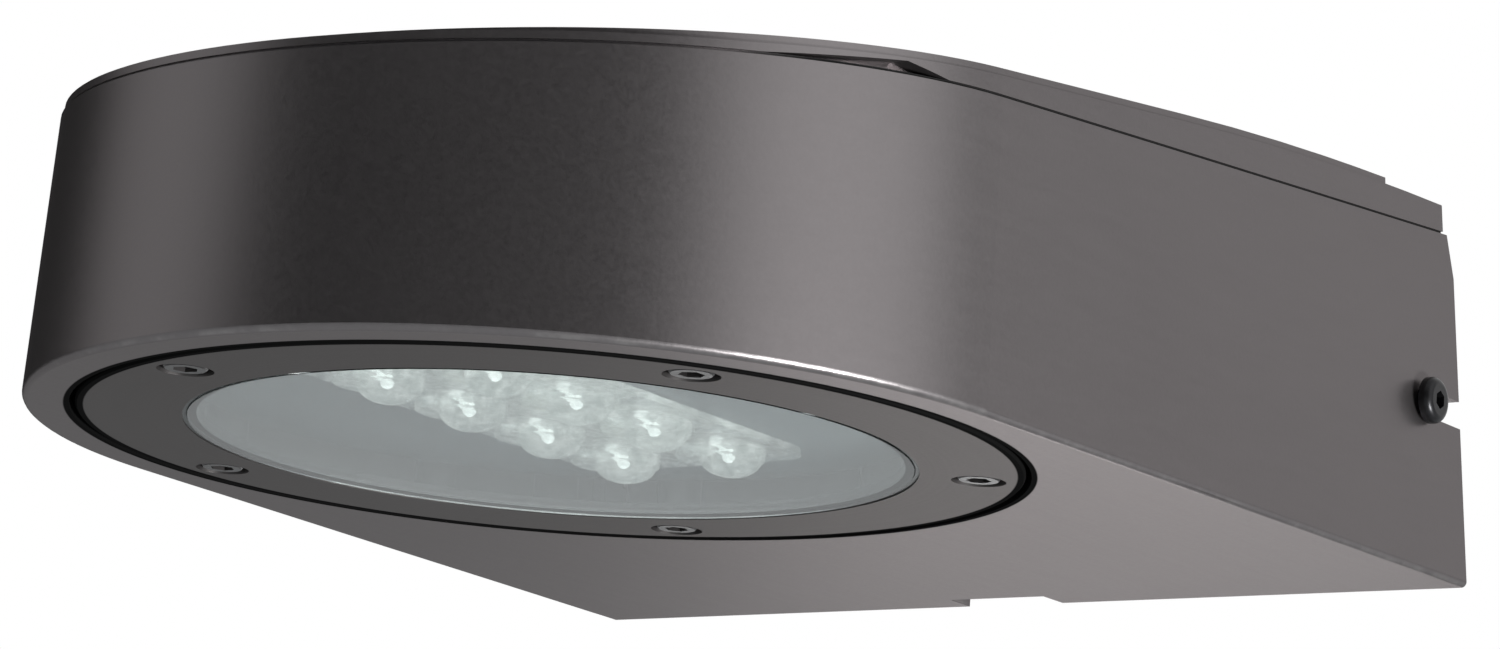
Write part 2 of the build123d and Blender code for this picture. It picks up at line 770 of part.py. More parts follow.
# ---- driver chamber ----
with BuildPart() as led_driver:
    with BuildSketch(height_plane(floor_wall)):
        with Locations((0, driver_y)):
            RectangleRounded(driver_length, driver_width, driver_corner)
    extrude(amount=driver_height)
    chamfer(led_driver.faces().sort_by(Axis.Z)[-1].edges(), length=driver_edge)
    with BuildSketch(height_plane(ear_height)):
        with Locations((0, driver_y)):
            Rectangle(driver_length + 2 * driver_ear, driver_ear_width)
        with Locations((-driver_screw_x, driver_y), (driver_screw_x, driver_y)):
            Circle(driver_screw_radius + screw_clearance, mode=Mode.SUBTRACT)
    extrude(amount=driver_ear_thickness)
led_driver.part.label = "led_driver"

driver_screw_length = floor_boss_height + driver_ear_thickness
driver_screw = cap_screw(
    driver_screw_head, driver_screw_head_height, driver_screw_radius, driver_screw_length, driver_hex_depth
)
with BuildPart() as driver_screws:
    with Locations(height_plane(ear_height + driver_ear_thickness)):
        with Locations((-driver_screw_x, driver_y), (driver_screw_x, driver_y)):
            add(driver_screw)
driver_screws.part.label = "driver_screws"

terminal_width, terminal_length, terminal_height = terminal_size
terminal_x = ear_end + terminal_gap + terminal_width / 2
terminal_y = -terminal_setback
with BuildPart() as terminal_block:
    with BuildSketch(height_plane(floor_wall)):
        with Locations((terminal_x, terminal_y)):
            Rectangle(terminal_width, terminal_length)
    extrude(amount=terminal_height)
    with BuildSketch(height_plane(floor_wall + terminal_height)):
        with Locations((terminal_x, terminal_y)):
            with GridLocations(1, terminal_pitch, 1, terminal_ways):
                Circle(terminal_well)
    extrude(amount=-terminal_well_depth, mode=Mode.SUBTRACT)
    with BuildSketch(Plane.YZ):
        with Locations((terminal_y, bottom_z + floor_wall + terminal_mouth_height)):
            with GridLocations(terminal_pitch, 1, terminal_ways, 1):
                Circle(terminal_mouth)
    extrude(amount=beyond, mode=Mode.SUBTRACT)
terminal_block.part.label = "terminal_block"

with BuildPart() as terminal_screws:
    with BuildSketch(height_plane(floor_wall + terminal_height - terminal_well_depth)):
        with Locations((terminal_x, terminal_y)):
            with GridLocations(1, terminal_pitch, 1, terminal_ways):
                Circle(terminal_screw)
                Rectangle(2 * terminal_screw, terminal_screw_slot, mode=Mode.SUBTRACT)
    extrude(amount=terminal_screw_height)
    with BuildSketch(height_plane(floor_wall + terminal_height - terminal_well_depth)):
        with Locations((terminal_x, terminal_y)):
            with GridLocations(1, terminal_pitch, 1, terminal_ways):
                Circle(terminal_screw)
    extrude(amount=terminal_screw_height / 2)
terminal_screws.part.label = "terminal_screws"

with BuildPart() as ground_screw:
    with Locations((ground_x, driver_y, bottom_z + ear_height)):
        add(cap_screw(ground_head, ground_head_height, ground_radius, floor_boss_height))
ground_screw.part.label = "ground_screw"

# ---- wall plate: a flat plate on the wall, with a riveted bracket for each lock screw ----
plate_low = floor_wall + plate_bottom_gap
plate_high = rim_z(0) - plate_top_gap
plate_low_x = side_x(plate_low, 0, side_wall + plate_side_gap)
plate_high_x = side_x(plate_high, 0, side_wall + plate_side_gap)
tab_x = side_x(underside_drop + lock_height, -lock_setback, side_wall + tab_gap)
front_of_plate = Plane.XZ.offset(plate_thickness)
plate_x = side_x(underside_drop + lock_height, 0, side_wall + plate_side_gap)
rivet_x = plate_x - groove_margin - groove_width - rivet_gap - rivet_radius
foot_end_x = rivet_x - rivet_edge
foot_x = (tab_x + foot_end_x) / 2
rivet_points = [
    (side * rivet_x, lock_height + row * rivet_spacing / 2) for side in (-1, 1) for row in (-1, 1)
]

with BuildSketch(Plane.XZ) as plate_outline:
    with BuildLine():
        Polyline(
            (-plate_low_x, bottom_z + plate_low),
            (plate_low_x, bottom_z + plate_low),
            (plate_high_x, bottom_z + plate_high),
            (-plate_high_x, bottom_z + plate_high),
            close=True,
        )
    make_face()

with BuildPart() as wall_plate:
    extrude(plate_outline.sketch, amount=plate_thickness)
    # Two slots for a ceiling-box's screws, four anchor holes and the wire hole.
    with BuildSketch(Plane.XZ):
        with GridLocations(slot_spacing, 1, 2, 1):
            SlotOverall(slot_length, slot_width)
        with GridLocations(anchor_spacing_x, anchor_spacing_z, 2, 2):
            Circle(anchor_radius)
        Circle(wire_hole_radius)
        with Locations(*rivet_points):
            Circle(rivet_radius)
    extrude(amount=plate_thickness, mode=Mode.SUBTRACT)
    with BuildSketch(Plane.XZ):
        Circle(grommet_lip_radius)
    extrude(amount=grommet_lip, mode=Mode.SUBTRACT)
    with BuildSketch(Plane.XZ):
        offset(plate_outline.sketch, amount=-groove_margin)
        offset(plate_outline.sketch, amount=-groove_margin - groove_width, mode=Mode.SUBTRACT)
    extrude(amount=groove_depth, mode=Mode.SUBTRACT)
wall_plate.part.label = "wall_plate"

with BuildPart() as lock_brackets:
    with BuildSketch(front_of_plate):
        with Locations((-foot_x, lock_height), (foot_x, lock_height)):
            Rectangle(tab_x - foot_end_x, tab_height)
    extrude(amount=foot_wall)
    with BuildSketch(front_of_plate):
        with Locations((tab_x - tab_wall / 2, lock_height), (tab_wall / 2 - tab_x, lock_height)):
            Rectangle(tab_wall, tab_height)
    extrude(amount=lock_setback + tab_reach - plate_thickness)
    tab_front = lock_brackets.faces().filter_by(Axis.Y).group_by(Axis.Y)[0]
    fillet(tab_front.edges().filter_by(Axis.X), radius=tab_corner)
    with BuildSketch(Plane.YZ):
        with Locations((-lock_setback, lock_height)):
            Circle(insert_radius)
    extrude(amount=beyond, both=True, mode=Mode.SUBTRACT)
    with BuildSketch(front_of_plate):
        with Locations(*rivet_points):
            Circle(rivet_radius)
    extrude(amount=foot_wall, mode=Mode.SUBTRACT)
lock_brackets.part.label = "lock_brackets"

with BuildPart() as bracket_rivets:
    with BuildSketch(Plane.XZ):
        with Locations(*rivet_points):
            Circle(rivet_radius)
    extrude(amount=plate_thickness + foot_wall)
    with BuildSketch(front_of_plate.offset(foot_wall)):
        with Locations(*rivet_points):
            Circle(rivet_head)
    extrude(amount=rivet_head_height)
bracket_rivets.part.label = "bracket_rivets"

with BuildPart() as wall_gasket:
    with BuildSketch(Plane.XZ):
        offset(plate_outline.sketch, amount=-groove_margin - wall_gasket_gap)
        offset(
            plate_outline.sketch,
            amount=wall_gasket_gap - groove_margin - groove_width,
            mode=Mode.SUBTRACT,
        )
    extrude(amount=groove_depth)
wall_gasket.part.label = "wall_gasket"

with BuildPart() as wire_grommet:
    with BuildSketch(Plane.XZ):
        Circle(wire_hole_radius)
    extrude(amount=plate_thickness)
    with BuildSketch(Plane.XZ):
        Circle(grommet_lip_radius)
    extrude(amount=grommet_lip)
    with BuildSketch(front_of_plate):
        Circle(grommet_flange)
    extrude(amount=grommet_flange_wall)
    with BuildSketch(Plane.XZ):
        Circle(grommet_bore)
    extrude(amount=plate_thickness + grommet_flange_wall, mode=Mode.SUBTRACT)
wire_grommet.part.label = "wire_grommet"

# ---- lock screws and the inserts that they turn in ----
insert_inner_x = tab_x - tab_wall - insert_flange
head_seat_x = side_x(underside_drop + lock_height, -lock_setback) + lock_head_gap

with BuildPart() as lock_inserts:
    for side in (-1, 1):
        tab_face = Plane((side * (tab_x - tab_wall), -lock_setback, lock_height), z_dir=(side, 0, 0))
        with BuildSketch(tab_face):
            Circle(insert_radius)
            Circle(lock_radius + turning_clearance, mode=Mode.SUBTRACT)
        extrude(amount=tab_wall)
        with BuildSketch(tab_face):
            Circle(insert_collar)
            Circle(lock_radius + turning_clearance, mode=Mode.SUBTRACT)
        extrude(amount=-insert_flange)
lock_inserts.part.label = "lock_inserts"

lock_length = head_seat_x - insert_inner_x + lock_screw_reach
lock_screws = []
for side, name in ((-1, "left_lock_screw"), (1, "right_lock_screw")):
    seat = Plane((side * head_seat_x, -lock_setback, lock_height), z_dir=(side, 0, 0))
    with BuildPart() as lock_screw:
        with BuildSketch(seat):
            Circle(lock_head_radius)
        extrude(amount=lock_head_height)
        fillet(lock_screw.faces().sort_by(Axis.X)[-1 if side > 0 else 0].edges(), radius=lock_head_round)
        with BuildSketch(seat):
            Circle(lock_radius)
        extrude(amount=-lock_length)
        with BuildSketch(seat.offset(lock_head_height)):
            RegularPolygon(radius=lock_socket, side_count=6, major_radius=False)
        extrude(amount=-lock_socket_depth, mode=Mode.SUBTRACT)
    lock_screw.part.label = name
    lock_screws.append(lock_screw)

parts = [
    housing,
    top_cover,
    cover_gasket,
    cover_screws,
    lens_frame,
    lens_glass,
    glass_seal,
    frame_gasket,
    frame_screws,
    reflector_pan,
    led_board,
    thermal_pad,
    led_emitters,
    led_lenses,
    lens_holders,
    board_screws,
    heat_sink,
    heat_sink_screws,
    led_driver,
    driver_screws,
    terminal_block,
    terminal_screws,
    ground_screw,
    wall_plate,
    lock_brackets,
    bracket_rivets,
    wall_gasket,
    wire_grommet,
    lock_inserts,
    *lock_screws,
]

os.makedirs("parts", exist_ok=True)
for piece in parts:
    export_step(piece.part, f"parts/{piece.part.label}.step")
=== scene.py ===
import bpy
import math
import numpy as np
from mathutils import Matrix, Vector


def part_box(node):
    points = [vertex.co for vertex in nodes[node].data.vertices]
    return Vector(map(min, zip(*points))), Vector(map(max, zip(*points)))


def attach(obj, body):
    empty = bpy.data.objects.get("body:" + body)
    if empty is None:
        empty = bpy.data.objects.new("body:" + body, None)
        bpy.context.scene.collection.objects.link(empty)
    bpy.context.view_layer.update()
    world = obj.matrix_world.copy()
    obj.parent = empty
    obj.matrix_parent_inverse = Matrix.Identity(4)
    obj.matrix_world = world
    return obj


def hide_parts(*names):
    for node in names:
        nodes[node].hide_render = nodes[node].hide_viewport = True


# Wall pack light, in metres: +X across, +Y into the wall, +Z up. The round nose points to -Y.
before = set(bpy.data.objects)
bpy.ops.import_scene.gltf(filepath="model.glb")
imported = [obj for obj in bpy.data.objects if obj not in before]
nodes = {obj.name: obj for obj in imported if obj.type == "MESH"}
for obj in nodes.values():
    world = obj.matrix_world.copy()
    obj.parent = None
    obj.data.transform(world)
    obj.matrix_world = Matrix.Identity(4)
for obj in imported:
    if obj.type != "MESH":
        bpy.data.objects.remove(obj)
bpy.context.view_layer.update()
print("frame loaded:", len(nodes), "nodes")

glassLow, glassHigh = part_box("lens_glass")
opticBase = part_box("led_lenses")[0].z
lensX, lensY = (glassLow.x + glassHigh.x) / 2, (glassLow.y + glassHigh.y) / 2
underside = glassLow.z


class Signal:
    # One socket of a node tree. Operators on it add Math nodes, so 1 - mask works as it reads.
    def __init__(self, graph, socket):
        self.graph = graph
        self.socket = socket

    def calc(self, operation, *values):
        return self.graph.node("ShaderNodeMath", {"operation": operation}, values)

    def __add__(self, other):
        return self.calc("ADD", self, other)

    def __radd__(self, other):
        return self.calc("ADD", other, self)

    def __sub__(self, other):
        return self.calc("SUBTRACT", self, other)

    def __rsub__(self, other):
        return self.calc("SUBTRACT", other, self)

    def __mul__(self, other):
        return self.calc("MULTIPLY", self, other)

    def __rmul__(self, other):
        return self.calc("MULTIPLY", other, self)

    def __abs__(self):
        return self.calc("ABSOLUTE", self)


class Graph:
    # A node tree with one method for every kind of node.
    def __init__(self, tree):
        self.tree = tree
        self.tree.nodes.clear()

    def node(self, kind, settings=None, values=(), output=0):
        # Settings come first. Values go in by place, or by name or place in a dictionary. A node
        # that ends the tree has None as its output.
        made = self.tree.nodes.new(kind)
        for key, value in (settings or {}).items():
            setattr(made, key, value)
        pairs = values.items() if isinstance(values, dict) else enumerate(values)
        for key, value in pairs:
            if isinstance(value, Signal):
                self.tree.links.new(value.socket, made.inputs[key])
            else:
                made.inputs[key].default_value = value
        return Signal(self, made.outputs[output]) if output is not None else None

    def ramp(self, signal, low, high):
        # 0 below low, 1 above high, smooth in between; low above high turns it round.
        values = {"Value": signal, "From Min": low, "From Max": high}
        return self.node("ShaderNodeMapRange", {"interpolation_type": "SMOOTHSTEP"}, values)


class Finish(Graph):
    # A material: one Principled shader and what feeds it, on Object coordinates.
    def __init__(self, name, constants):
        self.material = bpy.data.materials.new(name)
        self.material.use_nodes = True
        super().__init__(self.material.node_tree)
        self.output = self.tree.nodes.new("ShaderNodeOutputMaterial")
        self.shader = self.tree.nodes.new("ShaderNodeBsdfPrincipled")
        self.tree.links.new(self.shader.outputs[0], self.output.inputs[0])
        for socket, value in constants.items():
            self.shader.inputs[socket].default_value = value
        self.place = self.node("ShaderNodeTexCoord", output="Object")

    def feed(self, socket, signal):
        self.tree.links.new(signal.socket, self.shader.inputs[socket])

    def axis(self, index):
        return self.node("ShaderNodeSeparateXYZ", None, [self.place], index)

    def scaled(self, scale):
        return self.node("ShaderNodeMapping", None, {"Vector": self.place, "Scale": scale})

    def noise(self, scale, detail=3.0, roughness=0.5):
        # A number gives an even noise, three numbers give one that is stretched.
        if isinstance(scale, (int, float)):
            values = {"Vector": self.place, "Scale": scale}
        else:
            values = {"Vector": self.scaled(scale), "Scale": 1.0}
        values.update({"Detail": detail, "Roughness": roughness})
        return self.node("ShaderNodeTexNoise", None, values)

    def away(self):
        # Distance from the lens frame's axis.
        offsets = [self.axis(0) - lensX, self.axis(1) - lensY]
        across = self.node("ShaderNodeCombineXYZ", None, offsets)
        return self.node("ShaderNodeVectorMath", {"operation": "LENGTH"}, [across], "Value")

    def rings(self, scale, layer=0.6):
        # Concentric tool marks round the lens frame's axis: noise over distance and height.
        place = [self.away() * scale, self.axis(2) * scale, layer]
        lines = self.node("ShaderNodeCombineXYZ", None, place)
        return self.node("ShaderNodeTexNoise", None, {"Vector": lines, "Scale": 1.0, "Detail": 3.0})

    def blend(self, factor, first, second):
        # Sockets by their places, because a Mix node has the same names for every type of data.
        values = {0: factor, 6: first, 7: second}
        return self.node("ShaderNodeMix", {"data_type": "RGBA"}, values, 2)

    def cover(self, mask, colour):
        # Where the mask is 1 the surface is this dull colour instead. Here it paints shade into the
        # gap round the lens frame.
        dull = {"Base Color": colour, "Roughness": 1.0, "Specular IOR Level": 0.0}
        over = self.node("ShaderNodeBsdfPrincipled", None, dull)
        shaders = [mask, Signal(self, self.shader.outputs[0]), over]
        both = self.node("ShaderNodeMixShader", None, shaders)
        self.tree.links.new(both.socket, self.output.inputs[0])

    def bump(self, height, strength, distance):
        values = {"Height": height, "Strength": strength, "Distance": distance}
        self.feed("Normal", self.node("ShaderNodeBump", None, values))


def dress(names, finish):
    for name in names:
        mesh = nodes[name].data
        mesh.materials.clear()
        mesh.materials.append(finish.material)


# Satin powder coat on the castings: mottled, with fine grain and faint lines where it was rubbed.
paintLook = {
    "light": (0.224, 0.209, 0.212, 1),
    "dark": (0.186, 0.173, 0.176, 1),
    "worn": (0.34, 0.325, 0.32, 1),
    "grazing": (0.50, 0.48, 0.475, 1),
    "roughness": 0.33,
    "cloudScale": 11.0,
    "grainScale": 1100.0,
    "grainHeight": 0.00004,
    "wearHeight": 0.0016,
    "rub": (500.0, 40.0, 500.0),
    # The gap's radii bound the painted shade round the lens frame.
    "gap": (0.1102, 0.1098),
}
# The lens frame is a shade darker, and its lines run in rings.
framePaintLook = {
    "light": (0.188, 0.179, 0.178, 1),
    "dark": (0.154, 0.146, 0.145, 1),
    "worn": (0.27, 0.26, 0.255, 1),
    "grazing": (0.35, 0.343, 0.34, 1),
    "roughness": 0.38,
    "cloudScale": 14.0,
    "grainScale": 1300.0,
    "grainHeight": 0.00003,
    "wearHeight": 0.0009,
    "rub": None,
    # The gap's radii bound the painted shade round the lens frame.
    "gap": (0.1053, 0.1057),
}
# What both share. The shares are those of clouds, streaks and grain, and in the bump those of
# grain and streaks. Here and below, the spread comes off the roughness, because the noise adds to
# it. The painted shade in the gap, black, ends between two heights above the underside.
coatLook = {
    "metallic": 0.93,
    "ringScale": 1500.0,
    "patchScale": 85.0,
    "patchEdges": (0.42, 0.68),
    "wearStart": 0.0003,
    "wearShare": 0.7,
    "colourShares": (0.3, 0.25, 0.45),
    "roughShares": (0.03, 0.05, 0.08),
    "spread": 0.08,
    "bumpShares": (0.8, 0.2),
    "gapShadeHeights": (0.008, 0.006),
    "gapShadeColour": (0.006, 0.006, 0.006, 1),
}


def weighted(signals, shares):
    # The sum of the signals, each times its share.
    total = signals[0] * shares[0]
    for signal, share in zip(signals[1:], shares[1:]):
        total = total + signal * share
    return total


def paintedCasting(name, look):
    # Wear lightens the paint in a thin band at the underside's edge, broken up by noise. The walls
    # of the gap round the lens frame and a narrow band beside it are painted black: painted shade.
    paint = Finish(name, {"Metallic": coatLook["metallic"], "Specular Tint": look["grazing"]})
    clouds = paint.noise(look["cloudScale"], detail=4.0)
    turned = look["rub"] is None
    streaks = paint.rings(coatLook["ringScale"]) if turned else paint.noise(look["rub"], detail=4.0)
    grain = paint.noise(look["grainScale"], detail=2.0)
    patches = paint.noise(coatLook["patchScale"], detail=4.0, roughness=0.65)
    height = paint.axis(2) - underside
    fading = paint.ramp(height, look["wearHeight"], 0.0)
    edge = fading * paint.ramp(height, 0.0, coatLook["wearStart"])
    wear = edge * paint.ramp(patches, *coatLook["patchEdges"]) * coatLook["wearShare"]
    mottling = weighted((clouds, streaks, grain), coatLook["colourShares"])
    body = paint.blend(mottling, look["dark"], look["light"])
    paint.feed("Base Color", paint.blend(wear, body, look["worn"]))
    # Painted shade: black in the gap round the lens frame and on a band beside it.
    gap = paint.ramp(paint.away(), *look["gap"]) * paint.ramp(height, *coatLook["gapShadeHeights"])
    paint.cover(gap, coatLook["gapShadeColour"])
    rough = weighted((clouds, streaks, grain), coatLook["roughShares"])
    paint.feed("Roughness", rough + (look["roughness"] - coatLook["spread"]))
    relief = weighted((grain, streaks), coatLook["bumpShares"])
    paint.bump(relief, strength=0.4, distance=look["grainHeight"])
    return paint


dress(["housing", "top_cover"], paintedCasting("housingPaint", paintLook))
dress(["lens_frame"], paintedCasting("framePaint", framePaintLook))
print("painted castings dressed")

# Rubber: dull, with fine pits and a faint bloom. Each is (low colour, high colour, roughness).
rubberLook = {
    "blackRubber": ((0.010, 0.010, 0.010, 1), (0.028, 0.027, 0.026, 1), 0.68),
    "greySilicone": ((0.035, 0.040, 0.041, 1), (0.062, 0.068, 0.069, 1), 0.55),
    "plateGasket": ((0.10, 0.105, 0.11, 1), (0.16, 0.165, 0.17, 1), 0.62),
}
# What all moulded pieces share. The shares are those of clouds and speckle.
mouldLook = {
    "cloudScale": 45.0,
    "colourShares": (0.7, 0.3),
    "roughShares": (0.14, 0.08),
    "spread": 0.11,
}


def moulded(name, low, high, roughness, pits=1600.0, pitHeight=0.00003, **constants):
    soft = Finish(name, constants)
    clouds = soft.noise(mouldLook["cloudScale"], detail=4.0)
    speckle = soft.noise(pits, detail=2.0)
    tone = weighted((clouds, speckle), mouldLook["colourShares"])
    soft.feed("Base Color", soft.blend(tone, low, high))
    rough = weighted((clouds, speckle), mouldLook["roughShares"])
    soft.feed("Roughness", rough + (roughness - mouldLook["spread"]))
    soft.bump(speckle, strength=0.4, distance=pitHeight)
    return soft


rubber = {name: moulded(name, *look) for name, look in rubberLook.items()}
dress(["frame_gasket", "wire_grommet"], rubber["blackRubber"])
dress(["glass_seal"], rubber["greySilicone"])
dress(["wall_gasket"], rubber["plateGasket"])

# The cover gasket is hardly to be seen round the nose, where the paint bridges it. It is black
# beyond the sides, which are distances from the middle. The shares are those of flank and speckle.
coverGasketLook = {
    "black": (0.006, 0.006, 0.006, 1),
    "bridged": (0.16, 0.15, 0.153, 1),
    "sides": (0.088, 0.104),
    "speckleScale": 1300.0,
    "roughShares": (0.35, 0.1),
    "smoothest": 0.33,
    "pitHeight": 0.00003,
}


def coverGasket(look):
    seal = Finish("coverGasket", {"Specular IOR Level": 0.3})
    flank = seal.ramp(abs(seal.axis(0)), *look["sides"])
    speckle = seal.noise(look["speckleScale"], detail=2.0)
    bridged = seal.blend(speckle, look["bridged"], paintLook["light"])
    seal.feed("Base Color", seal.blend(flank, bridged, look["black"]))
    seal.feed("Metallic", coatLook["metallic"] - flank * coatLook["metallic"])
    seal.feed("Roughness", weighted((flank, speckle), look["roughShares"]) + look["smoothest"])
    seal.bump(speckle, strength=0.4, distance=look["pitHeight"])
    return seal


dress(["cover_gasket"], coverGasket(coverGasketLook))
print("rubber dressed")

# Metals: turned, drawn or plated, with the marks that this leaves. Each is (low colour, high
# colour, roughness, scale of the marks along the three axes).
metalLook = {
    "darkScrew": ((0.045, 0.043, 0.043, 1), (0.085, 0.080, 0.080, 1), 0.42, (900.0, 900.0, 300.0)),
    "platedSteel": ((0.46, 0.46, 0.44, 1), (0.68, 0.68, 0.66, 1), 0.27, (700.0, 700.0, 260.0)),
    "blackOxide": ((0.008, 0.008, 0.009, 1), (0.026, 0.026, 0.028, 1), 0.33, (400.0, 900.0, 900.0)),
    "drawnAluminium": ((0.52, 0.53, 0.54, 1), (0.72, 0.73, 0.74, 1), 0.36, (900.0, 12.0, 900.0)),
    "driverCase": ((0.44, 0.44, 0.43, 1), (0.60, 0.60, 0.58, 1), 0.40, (12.0, 700.0, 700.0)),
    "groundGreen": ((0.015, 0.15, 0.035, 1), (0.04, 0.26, 0.08, 1), 0.36, (800.0, 800.0, 300.0)),
    "platePaint": ((0.085, 0.080, 0.080, 1), (0.12, 0.113, 0.113, 1), 0.44, (420.0, 420.0, 420.0)),
}
metallicShare = {"blackOxide": 0.7, "groundGreen": 0.7, "platePaint": 0.5}
# What all metals share. Colour has the shares of clouds, lines and tarnish, roughness those of
# lines and tarnish: tarnish darkens and dulls.
markLook = {
    "cloudScale": 60.0,
    "tarnishScale": 140.0,
    "tarnishEdges": (0.55, 0.75),
    "colourShares": (0.4, 0.6, -0.35),
    "roughShares": (0.14, 0.12),
    "spread": 0.08,
    "height": 0.00003,
}


def marked(name, low, high, roughness, marks):
    metal = Finish(name, {"Metallic": metallicShare.get(name, 1.0)})
    clouds = metal.noise(markLook["cloudScale"], detail=4.0)
    lines = metal.noise(marks, detail=4.0, roughness=0.6)
    spots = metal.noise(markLook["tarnishScale"], detail=5.0, roughness=0.7)
    tarnish = metal.ramp(spots, *markLook["tarnishEdges"])
    tone = weighted((clouds, lines, tarnish), markLook["colourShares"])
    metal.feed("Base Color", metal.blend(tone, low, high))
    rough = weighted((lines, tarnish), markLook["roughShares"])
    metal.feed("Roughness", rough + (roughness - markLook["spread"]))
    metal.bump(lines, strength=0.3, distance=markLook["height"])
    return metal


metal = {name: marked(name, *look) for name, look in metalLook.items()}
dress(["frame_screws", "cover_screws"], metal["darkScrew"])
steelNodes = ["board_screws", "heat_sink_screws", "driver_screws", "terminal_screws"]
dress(steelNodes + ["lock_inserts", "bracket_rivets"], metal["platedSteel"])
dress(["left_lock_screw", "right_lock_screw"], metal["blackOxide"])
dress(["heat_sink"], metal["drawnAluminium"])
dress(["led_driver"], metal["driverCase"])
dress(["ground_screw"], metal["groundGreen"])
dress(["wall_plate", "lock_brackets"], metal["platePaint"])
print("metals dressed")

# The pan's dark coat, with painted light and shade: lighter towards the right and the wall. Colour
# has the shares of that painted shade and of clouds, roughness those of drawn lines and of clouds.
panLook = {
    "light": (0.10, 0.135, 0.155, 1),
    "dark": (0.020, 0.036, 0.046, 1),
    "along": (-0.795, -0.606),
    "shadeReach": 0.075,
    "roughness": 0.5,
    "drawn": (900.0, 30.0, 900.0),
    "cloudScale": 40.0,
    "colourShares": (0.8, 0.2),
    "roughShares": (0.12, 0.06),
    "spread": 0.08,
    "height": 0.00002,
}


def panCoatWithPaintedShade(look):
    # Painted shade grows along a level line through the lens frame's axis, with a few clouds in it.
    coat = Finish("panCoatWithPaintedShade", {"Specular IOR Level": 0.3})
    # Painted light and shade: darker towards the left and the nose, lighter towards the right and
    # the wall.
    across = weighted((coat.axis(0) - lensX, coat.axis(1) - lensY), look["along"])
    paintedShade = coat.ramp(across, -look["shadeReach"], look["shadeReach"])
    drawn = coat.noise(look["drawn"], detail=3.0)
    clouds = coat.noise(look["cloudScale"], detail=4.0)
    paintedShadeAndClouds = weighted((paintedShade, clouds), look["colourShares"])
    coat.feed("Base Color", coat.blend(paintedShadeAndClouds, look["light"], look["dark"]))
    rough = weighted((drawn, clouds), look["roughShares"])
    coat.feed("Roughness", rough + (look["roughness"] - look["spread"]))
    coat.bump(drawn, strength=0.25, distance=look["height"])
    return coat


dress(["reflector_pan"], panCoatWithPaintedShade(panLook))
print("pan dressed")

# Plastics and what sits on the board. Each is (low colour, high colour, roughness) and, where
# the pits aren't the usual ones, their scale and height.
plasticLook = {
    "terminalPlastic": ((0.46, 0.46, 0.42, 1), (0.58, 0.58, 0.54, 1), 0.48),
    "padGrey": ((0.16, 0.18, 0.21, 1), (0.24, 0.26, 0.30, 1), 0.82, 2600.0, 0.00008),
    "phosphor": ((0.72, 0.52, 0.06, 1), (0.85, 0.70, 0.18, 1), 0.24, 900.0, 0.00001),
}
plastic = {name: moulded(name, *look) for name, look in plasticLook.items()}
dress(["terminal_block"], plastic["terminalPlastic"])
dress(["thermal_pad"], plastic["padGrey"])
dress(["led_emitters"], plastic["phosphor"])

boardLook = {
    "mask": (0.74, 0.76, 0.73, 1),
    "gap": (0.60, 0.63, 0.60, 1),
    "pours": {
        "Scale": 90.0,
        "Mortar Size": 0.012,
        "Mortar Smooth": 0.3,
        "Brick Width": 1.35,
        "Row Height": 0.45,
    },
    "grainScale": 300.0,
    "roughShare": 0.14,
    "smoothest": 0.34,
    "stepHeight": 0.00004,
}


def solderMask(look):
    # Copper areas show through the white mask as faint steps, with gaps between them.
    board = Finish("solderMask", {})
    pours = dict(look["pours"], Vector=board.place)
    colours = dict(pours, Color1=look["mask"], Color2=look["mask"], Mortar=look["gap"])
    board.feed("Base Color", board.node("ShaderNodeTexBrick", None, colours))
    gaps = board.node("ShaderNodeTexBrick", None, pours, "Fac")
    grain = board.noise(look["grainScale"], detail=3.0)
    board.feed("Roughness", grain * look["roughShare"] + look["smoothest"])
    board.bump(1 - gaps, strength=0.5, distance=look["stepHeight"])
    return board


dress(["led_board"], solderMask(boardLook))
print("board and plastics dressed")

# Clear pieces: the glass carries a trace of dust, the optics, their feet and plate are slightly
# milky. Each is (colour, transmission, roughness, index of refraction, glow); the glow is painted
# light.
clearLook = {
    "clearGlass": ((0.88, 0.95, 0.945, 1), 1.0, 0.0, 1.5, 0.0),
    "opticClear": ((0.84, 0.86, 0.85, 1), 0.93, 0.06, 1.06, 0.20),
    "cupClear": ((0.84, 0.86, 0.85, 1), 0.93, 0.06, 1.04, 0.18),
}
dustLook = {
    "scale": 22.0,
    "edges": (0.45, 0.85),
    "darkening": 0.96,
    "dulling": 0.02,
    "speckScale": 700.0,
    "speckShare": 0.3,
}
# The optics' ripple, and painted glints in their glow: its dim and bright colours.
rippleAndPaintedGlintLook = {
    "scale": 420.0,
    "edges": (0.46, 0.58),
    "dim": (0.20, 0.23, 0.22, 1),
    "bright": (1.0, 1.0, 0.97, 1),
    "height": 0.0008,
}


